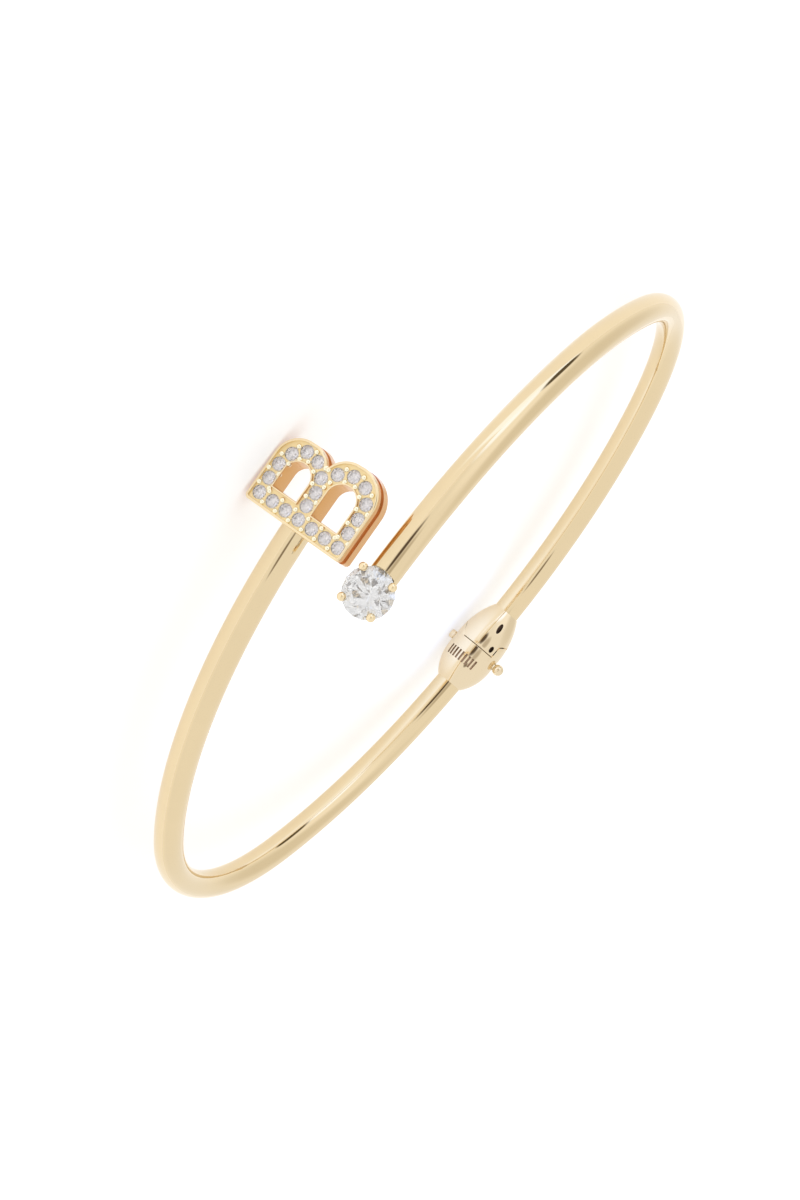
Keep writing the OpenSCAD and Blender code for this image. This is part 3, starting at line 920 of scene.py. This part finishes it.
def initial_outline(initial):
    """Outer outline of the initial, anticlockwise from its lower left corner."""
    top, bottom = initial.top, initial.top - initial.height
    corner, left = initial.corner_r, initial.left
    upper = [(x, top - down, r) for x, down, r in UPPER_BOWL]
    lower = [(x, bottom + rise, r) for x, rise, r in LOWER_BOWL]
    low_join, high_join = crossing(*lower), crossing(*upper)
    waist_low, waist_high = at_waist(lower[0], 1), at_waist(upper[1], -1)
    points = arc((left + corner, bottom + corner), corner, 180, 270, 10)
    points += bow(lower[1], (lower[1][0], bottom), low_join)
    points += bow(lower[0], low_join, waist_low)[1:]
    points += bow(upper[1], waist_high, high_join)
    points += bow(upper[0], high_join, (upper[0][0], top))[1:]
    return points + arc((left + corner, top - corner), corner, 90, 180, 10)


def counter_outline(counter):
    """Outline of a D-shaped counter, anticlockwise."""
    left, (x, y), radius = counter
    return [(left, y - radius)] + arc((x, y), radius, -90, 90) + [(left, y + radius)]


def rim_rows(initial, width, edge, step):
    """Section of a rim from the wall to the field: distance into the metal, height."""
    face, inner = initial.thickness / 2, initial.rim_inner_r
    rows = arc((edge, face - edge), edge, 180, 90, step)
    rows += arc((width - inner, face - inner), inner, 90, 0, 30)
    return rows + [(width, face - initial.field_depth)]


def wall_rows(initial):
    """Section of the outer wall from the back, with its groove and its rim, in the same way."""
    face, back, deep = initial.thickness / 2, initial.back_edge, initial.groove_depth
    low, high = initial.groove_level, initial.groove_level + initial.groove_w
    rows = [(back, -face), (0.0, back - face), (0.0, low), (deep, low), (deep, high), (0.0, high)]
    return rows + rim_rows(initial, initial.rim_w, initial.rim_edge_r, 18)


def counter_rows(initial):
    """Section of a counter's wall from the back, with its rim, in the same way."""
    face, edge = initial.thickness / 2, initial.rim_inner_r
    return [(edge, -face), (0.0, edge - face)] + rim_rows(initial, initial.counter_rim_w, edge, 30)


def initial_body(initial, materials):
    """The initial's metal without its seats, in four materials: rim, wall, groove and field; the wall and
    groove materials are gold painted darker as shade.
    """
    vertices, faces, paints, first_rings, last_rings = [], [], [], [], []
    loops = [(initial_outline(initial), 1.0, initial.rim_edge_r, wall_rows(initial))]
    loops += [(counter_outline(c), -1.0, initial.rim_inner_r, counter_rows(initial)) for c in COUNTERS]
    rim, wall, groove, field = range(4)
    for outline, side, edge, rows in loops:
        rim_level = initial.thickness / 2 - edge
        rings = []
        for inset, level in rows:
            ring = shifted(outline, side * inset)
            rings.append(range(len(vertices), len(vertices) + len(ring)))
            vertices += [(p.x, p.y, level) for p in ring]
        bands = zip(zip(rings, rings[1:]), rows, rows[1:])
        for (low, high), (inset, level), (next_inset, next_level) in bands:
            paint = wall if max(level, next_level) <= rim_level else rim
            if paint == wall and max(inset, next_inset) >= initial.groove_depth:
                paint = groove
            for i in range(len(outline)):
                j = (i + 1) % len(outline)
                faces.append([low[i], low[j], high[j], high[i]])
                paints.append(paint)
        first_rings.append(rings[0])
        last_rings.append(rings[-1])
    for rings, paint in ((first_rings, rim), (last_rings, field)):
        corners = [i for ring in rings for i in ring]
        flat = tessellate_polygon([[Vector(vertices[i]) for i in ring] for ring in rings])
        faces += [[corners[i] for i in triangle] for triangle in flat]
        paints += [paint] * len(flat)
    body = solid("initial", vertices, faces)
    for material in materials:
        body.data.materials.append(material)
    body.data.polygons.foreach_set("material_index", paints)
    return body


def seats(initial, material):
    """Cones of the small stones' seats, open upwards."""
    face = initial.thickness / 2 - initial.field_depth - initial.girdle_sink
    rows = stone_seat(initial.pave_d, initial.stone_gap)
    cones = []
    for x, y in PAVE_PLACES:
        cone = lathe("seat", rows, sides=32, material=material)
        cone.data.transform(slide(x, y, face))
        cones.append(cone)
    return joined(*cones)


def bead_places(initial):
    """Beads on both sides of each line of stones, halfway between neighbours."""
    level = initial.thickness / 2 - initial.field_depth
    places = []
    for line in BEAD_LINES:
        for one, two in zip(line, line[1:]):
            middle = (Vector(one) + Vector(two)) / 2
            step = (Vector(two) - Vector(one)).normalized()
            across = Vector((-step.y, step.x)) * initial.bead_offset
            places += [(*(middle + side * across), level) for side in (1, -1)]
    return places


def claw(setting, material):
    """One claw with a round tip, leaning outwards over +X."""
    foot = Vector((setting.foot_r, 0.0, setting.foot_h))
    rise = Vector((setting.tip_r, 0.0, setting.tip_h)) - foot
    rod_r, edge = setting.claw_d / 2, setting.foot_edge
    rows = [(0.0, 0.0)] + arc((edge, rod_r - edge), edge, 180, 90, 30)
    rows += ball_end(rise.length, setting.tip_d / 2, rod_r)
    rod = lathe("claw", rows, sides=40, material=material)
    rod.data.transform(Matrix.Translation(foot) @ turned("Y", math.atan2(rise.x, rise.z)))
    return rod


# Operators

class BANGLE_OT_wires(bpy.types.Operator):
    """Sweep the two arms' wires"""

    bl_idname = "bangle.wires"
    bl_label = "Wires"

    def execute(self, context):
        wire, setting = sizes("bangle_wire"), sizes("bangle_setting")
        gold = gold_finish("polished_gold")
        letter = arm_wire(wire, wire.letter_turn - wire.letter_back, gold)
        finish_piece(letter, "letter_wire", letter_side(), LETTER_BODY, "letter_arm")
        stone = arm_wire(wire, wire.stone_turn - wire.stone_back, gold)
        bed = lathe("bed", stone_seat(setting.stone_d, setting.stone_gap), material=gold)
        bed.data.transform(on_stone(wire) @ slide(0.0, 0.0, setting.girdle_h))
        finish_piece(combine(stone, bed), "stone_wire", stone_side(), STONE_BODY, "stone_arm")
        return {"FINISHED"}


class BANGLE_OT_hinge(bpy.types.Operator):
    """Turn and cut the hinge's caps and its pin"""

    bl_idname = "bangle.hinge"
    bl_label = "Hinge"

    def execute(self, context):
        wire, hinge = sizes("bangle_wire"), sizes("bangle_hinge")
        neck_r = wire.thickness / 2 + hinge.neck_rise
        finish_piece(letter_cap(hinge, neck_r), "letter_cap",
                     letter_side() @ slide(hinge.pin_x, 0.0, 0.0), LETTER_BODY, "letter_arm")
        finish_piece(stone_cap(hinge, neck_r), "stone_cap",
                     stone_side() @ slide(-hinge.pin_x, 0.0, 0.0), STONE_BODY, "stone_arm")
        pin = lathe("pin", pin_profile(hinge), sides=64, material=gold_finish("cap_gold"))
        finish_piece(pin, "pin", bangle_place() @ slide(hinge.pin_x, wire.hinge_y, 0.0),
                     LETTER_BODY, "hinge_pin")
        return {"FINISHED"}


class BANGLE_OT_initial(bpy.types.Operator):
    """Make the initial with its rims, groove, seats and beads"""

    bl_idname = "bangle.initial"
    bl_label = "Initial"

    def execute(self, context):
        wire, initial = sizes("bangle_wire"), sizes("bangle_initial")
        place = letter_side() @ on_initial(wire, initial)
        body = initial_body(initial, [
            gold_finish("rim_gold"),
            # Painted shade on the walls: gold painted darker and more orange
            gold_finish("wall_gold", "wall_polish"),
            # Painted shade in the groove: gold painted darker and more orange
            gold_finish("groove_gold", "field_polish"),
            gold_finish("field_gold", "field_polish", FIELD_RIPPLE),
        ])
        # The seats carry a painted sheen: pale pinkish white under the small stones
        body = combine(body, seats(initial, gold_finish("seat_gold", "field_polish")))
        finish_piece(body, "initial", place, LETTER_BODY, "letter_arm")
        points = bpy.data.meshes.new("beads")
        points.from_pydata(bead_places(initial), [], [])
        # The beads carry a painted highlight: gold painted near white
        beads = grown(new_object("beads", points), beads_tree(), Radius=initial.bead_d / 2,
                      Material=gold_finish("bead_gold"))
        finish_piece(beads, "beads", place, LETTER_BODY, "letter_arm")
        return {"FINISHED"}


class BANGLE_OT_setting(bpy.types.Operator):
    """Make the round stone's claws and basket"""

    bl_idname = "bangle.setting"
    bl_label = "Setting"

    def execute(self, context):
        wire, setting = sizes("bangle_wire"), sizes("bangle_setting")
        place = stone_side() @ on_stone(wire)
        gold = gold_finish("rim_gold")
        claws = grown(claw(setting, gold), turned_copies_tree(), Count=setting.claws, Axis=(0.0, 0.0, 1.0),
                      First=math.pi / setting.claws, Step=math.tau / setting.claws, Material=gold)
        stone = lathe("stone", whole_stone(setting.stone_d, setting.stone_gap), material=gold)
        stone.data.transform(slide(0.0, 0.0, setting.girdle_h))
        finish_piece(combine(claws, stone), "claws", place, STONE_BODY, "stone_arm")
        rings = []
        for radius, level, thickness in (
                (setting.lower_ring_r, setting.lower_ring_h, setting.lower_ring_t),
                (setting.upper_ring_r, setting.upper_ring_h, setting.upper_ring_t)):
            points = [(x, y, level) for x, y in arc((0.0, 0.0), radius, 0, 360)[:-1]]
            rings.append(swept("ring", points, thickness / 2, sides=24, material=gold, closed=True))
        finish_piece(joined(*rings), "basket", place, STONE_BODY, "stone_arm")
        return {"FINISHED"}


class BANGLE_OT_stones(bpy.types.Operator):
    """Give the cut stones their clear materials"""

    bl_idname = "bangle.stones"
    bl_label = "Stones"

    def execute(self, context):
        clear, small = stone_material("clear_stone"), stone_material("small_stone")
        for name, node in frame["nodes"].items():
            for start, material in (("centre_stone", clear), ("pave_stone", small)):
                if name.startswith(start):
                    node.material_slots[0].material = material
        return {"FINISHED"}


class BANGLE_OT_stage(bpy.types.Operator):
    """Set the pale floor, the soft light and the camera"""

    bl_idname = "bangle.stage"
    bl_label = "Stage"

    def execute(self, context):
        scene = context.scene
        stage = sizes("bangle_stage")
        half, level = stage.floor_size * MM, cad_bounds[0].z
        corners = [(-half, -half, level), (half, -half, level), (half, half, level), (-half, half, level)]
        mesh = bpy.data.meshes.new("floor")
        mesh.from_pydata(corners, [], [(0, 1, 2, 3)])
        mesh.materials.append(light_table(stage))
        new_object("floor", mesh)
        scene.world = light_tent()
        scene.view_settings.view_transform = "Standard"

        camera = bpy.data.objects.new("camera", bpy.data.cameras.new("camera"))
        scene.collection.objects.link(camera)
        camera.data.sensor_fit = "AUTO"
        camera.data.sensor_width = 36.0
        camera.data.lens = stage.lens
        camera.data.shift_x = stage.shift_x
        camera.data.shift_y = stage.shift_y
        camera.data.clip_start = 0.01
        camera.data.clip_end = 10.0
        aim = bangle_place().translation * MM
        sight = turned("Z", stage.azimuth) @ turned("X", math.pi / 2 - stage.elevation)
        back = turned("Z", stage.roll) @ slide(0.0, 0.0, stage.distance * MM)
        camera.matrix_world = Matrix.Translation(aim) @ sight @ back
        scene.camera = camera
        return {"FINISHED"}


OPERATORS = [BANGLE_OT_stage, BANGLE_OT_wires, BANGLE_OT_hinge, BANGLE_OT_initial, BANGLE_OT_setting,
             BANGLE_OT_stones]


class BANGLE_PT_panel(bpy.types.Panel):
    """Panel with the bangle's operators"""

    bl_label = "Bangle"
    bl_space_type = "VIEW_3D"
    bl_region_type = "UI"
    bl_category = "Bangle"

    def draw(self, context):
        for operator in OPERATORS:
            self.layout.operator(operator.bl_idname)


CLASSES = [*SETTINGS.values(), *OPERATORS, BANGLE_PT_panel]


def register():
    for cls in CLASSES:
        bpy.utils.register_class(cls)
    for name, cls in SETTINGS.items():
        setattr(bpy.types.Scene, name, PointerProperty(type=cls))


def unregister():
    for name in SETTINGS:
        delattr(bpy.types.Scene, name)
    for cls in reversed(CLASSES):
        bpy.utils.unregister_class(cls)


def main():
    register()
    bpy.ops.bangle.stage()
    bpy.ops.bangle.wires()
    bpy.ops.bangle.hinge()
    bpy.ops.bangle.initial()
    bpy.ops.bangle.setting()
    bpy.ops.bangle.stones()


if __name__ == "__main__":
    main()
